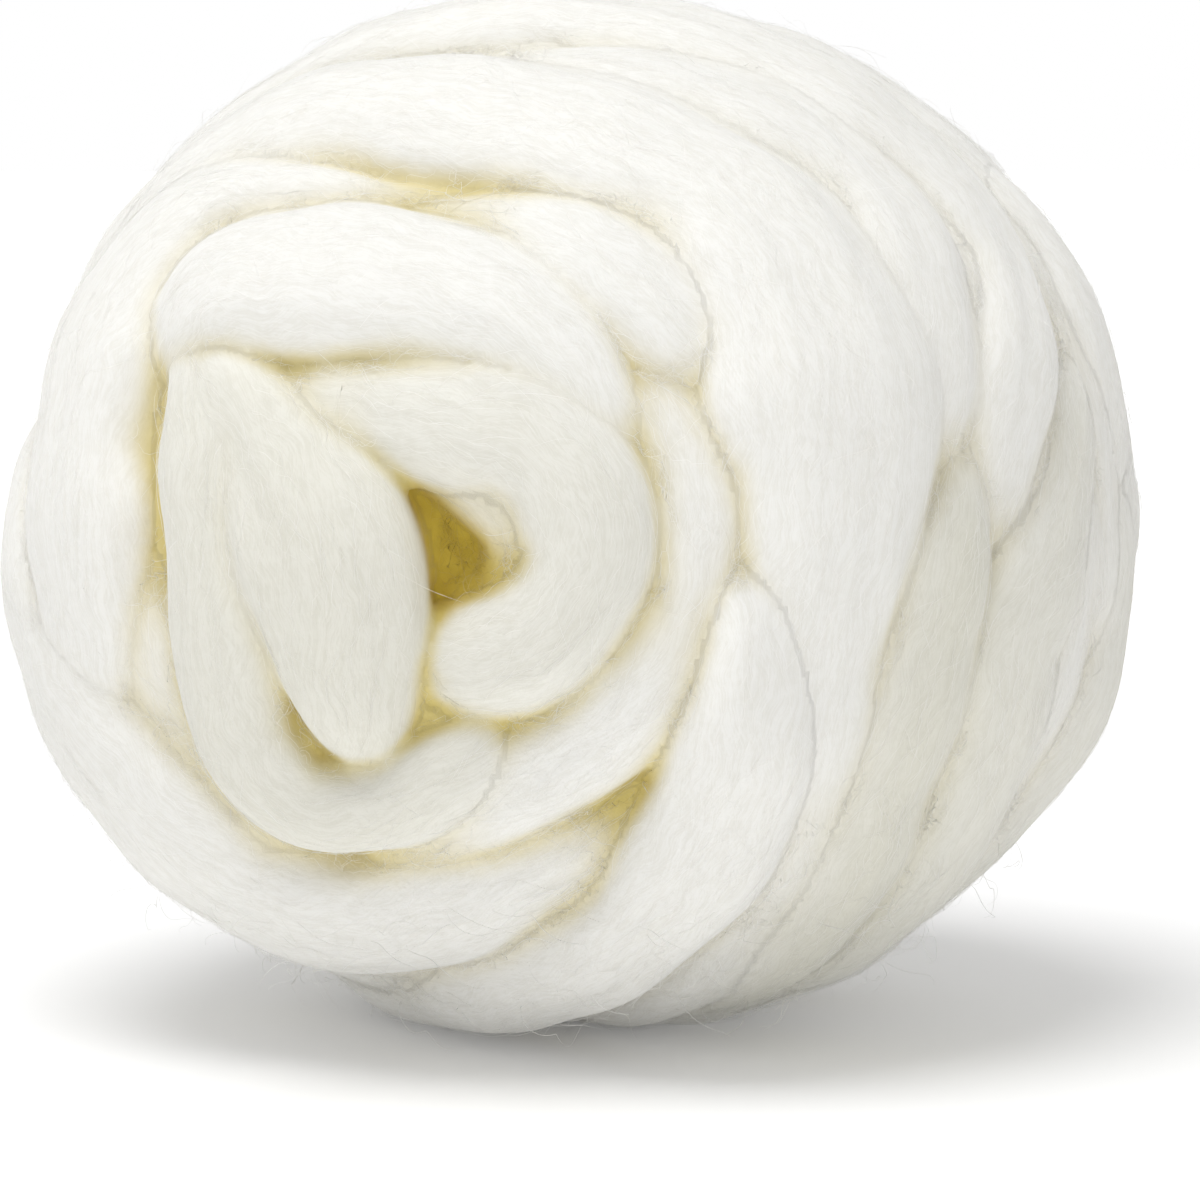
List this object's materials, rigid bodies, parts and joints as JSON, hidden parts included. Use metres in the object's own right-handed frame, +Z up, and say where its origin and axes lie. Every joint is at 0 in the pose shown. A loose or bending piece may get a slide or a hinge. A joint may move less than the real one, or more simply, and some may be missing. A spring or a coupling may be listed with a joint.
{
  "type": "wool roving ball",
  "caption": "Ball of soft undyed wool roving, wound by hand from one thick unspun strand round an open eye, resting on a small flat spot.",
  "frame": {"origin": "middle of the ball's footprint, on the surface it rests on", "axes": "+Z up; -Y towards the front, where the eye of the winding shows; +X to the right seen from the front"},
  "size_m": [0.189, 0.1722, 0.1705],
  "materials": {
    "wool": "soft matt carded wool fibre, cream white"
  },
  "bodies": {
    "root": {"roving_ball": "wool"}
  },
  "joints": []
}
